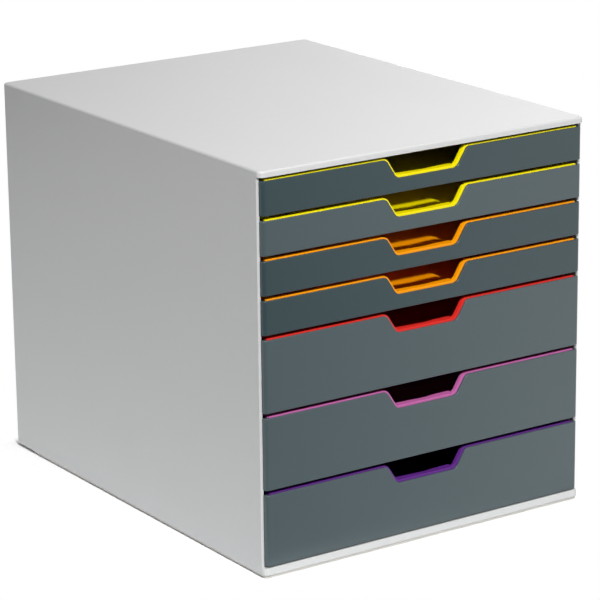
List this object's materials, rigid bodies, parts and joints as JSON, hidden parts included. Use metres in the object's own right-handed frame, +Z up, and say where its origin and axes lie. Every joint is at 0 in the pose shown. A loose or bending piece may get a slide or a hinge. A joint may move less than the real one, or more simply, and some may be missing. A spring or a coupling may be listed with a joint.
{
  "type": "desktop drawer tower",
  "caption": "Light grey desktop housing with stacked sliding trays, low ones over tall ones, each with a slate front and a coloured grip notch.",
  "frame": {"origin": "bottom centre of the part, on the surface it stands on", "axes": "+Z up, +Y towards the back, so the drawers pull out along -Y; +X to the right seen from the front"},
  "size_m": [0.28, 0.356, 0.292],
  "materials": {
    "housing": "fine satin, light grey",
    "plinth": "matt, warm grey",
    "rubber": "matt",
    "slate": "satin, slate grey",
    "yellow": "satin",
    "orange": "satin",
    "red": "satin",
    "lilac": "satin",
    "violet": "satin"
  },
  "bodies": {
    "housing": {"side_wall_left": "housing", "side_wall_right": "housing", "top_panel": "housing", "base_panel": "housing", "back_panel": "housing", "plinth_rim": "plinth", "rubber_feet": "rubber"},
    "drawer_1": {"tray_1": "yellow", "front_panel_1": "slate"},
    "drawer_2": {"tray_2": "yellow", "front_panel_2": "slate"},
    "drawer_3": {"tray_3": "orange", "front_panel_3": "slate"},
    "drawer_4": {"tray_4": "orange", "front_panel_4": "slate"},
    "drawer_5": {"tray_5": "red", "front_panel_5": "slate"},
    "drawer_6": {"tray_6": "lilac", "front_panel_6": "slate"},
    "drawer_7": {"tray_7": "violet", "front_panel_7": "slate"}
  },
  "joints": [
    {"name": "drawer_1_slide", "type": "slide", "parent": "housing", "child": "drawer_1", "axis": [0, -1, 0], "range_m": [0, 0.25]},
    {"name": "drawer_2_slide", "type": "slide", "parent": "housing", "child": "drawer_2", "axis": [0, -1, 0], "range_m": [0, 0.25]},
    {"name": "drawer_3_slide", "type": "slide", "parent": "housing", "child": "drawer_3", "axis": [0, -1, 0], "range_m": [0, 0.25]},
    {"name": "drawer_4_slide", "type": "slide", "parent": "housing", "child": "drawer_4", "axis": [0, -1, 0], "range_m": [0, 0.25]},
    {"name": "drawer_5_slide", "type": "slide", "parent": "housing", "child": "drawer_5", "axis": [0, -1, 0], "range_m": [0, 0.25]},
    {"name": "drawer_6_slide", "type": "slide", "parent": "housing", "child": "drawer_6", "axis": [0, -1, 0], "range_m": [0, 0.25]},
    {"name": "drawer_7_slide", "type": "slide", "parent": "housing", "child": "drawer_7", "axis": [0, -1, 0], "range_m": [0, 0.25]}
  ]
}
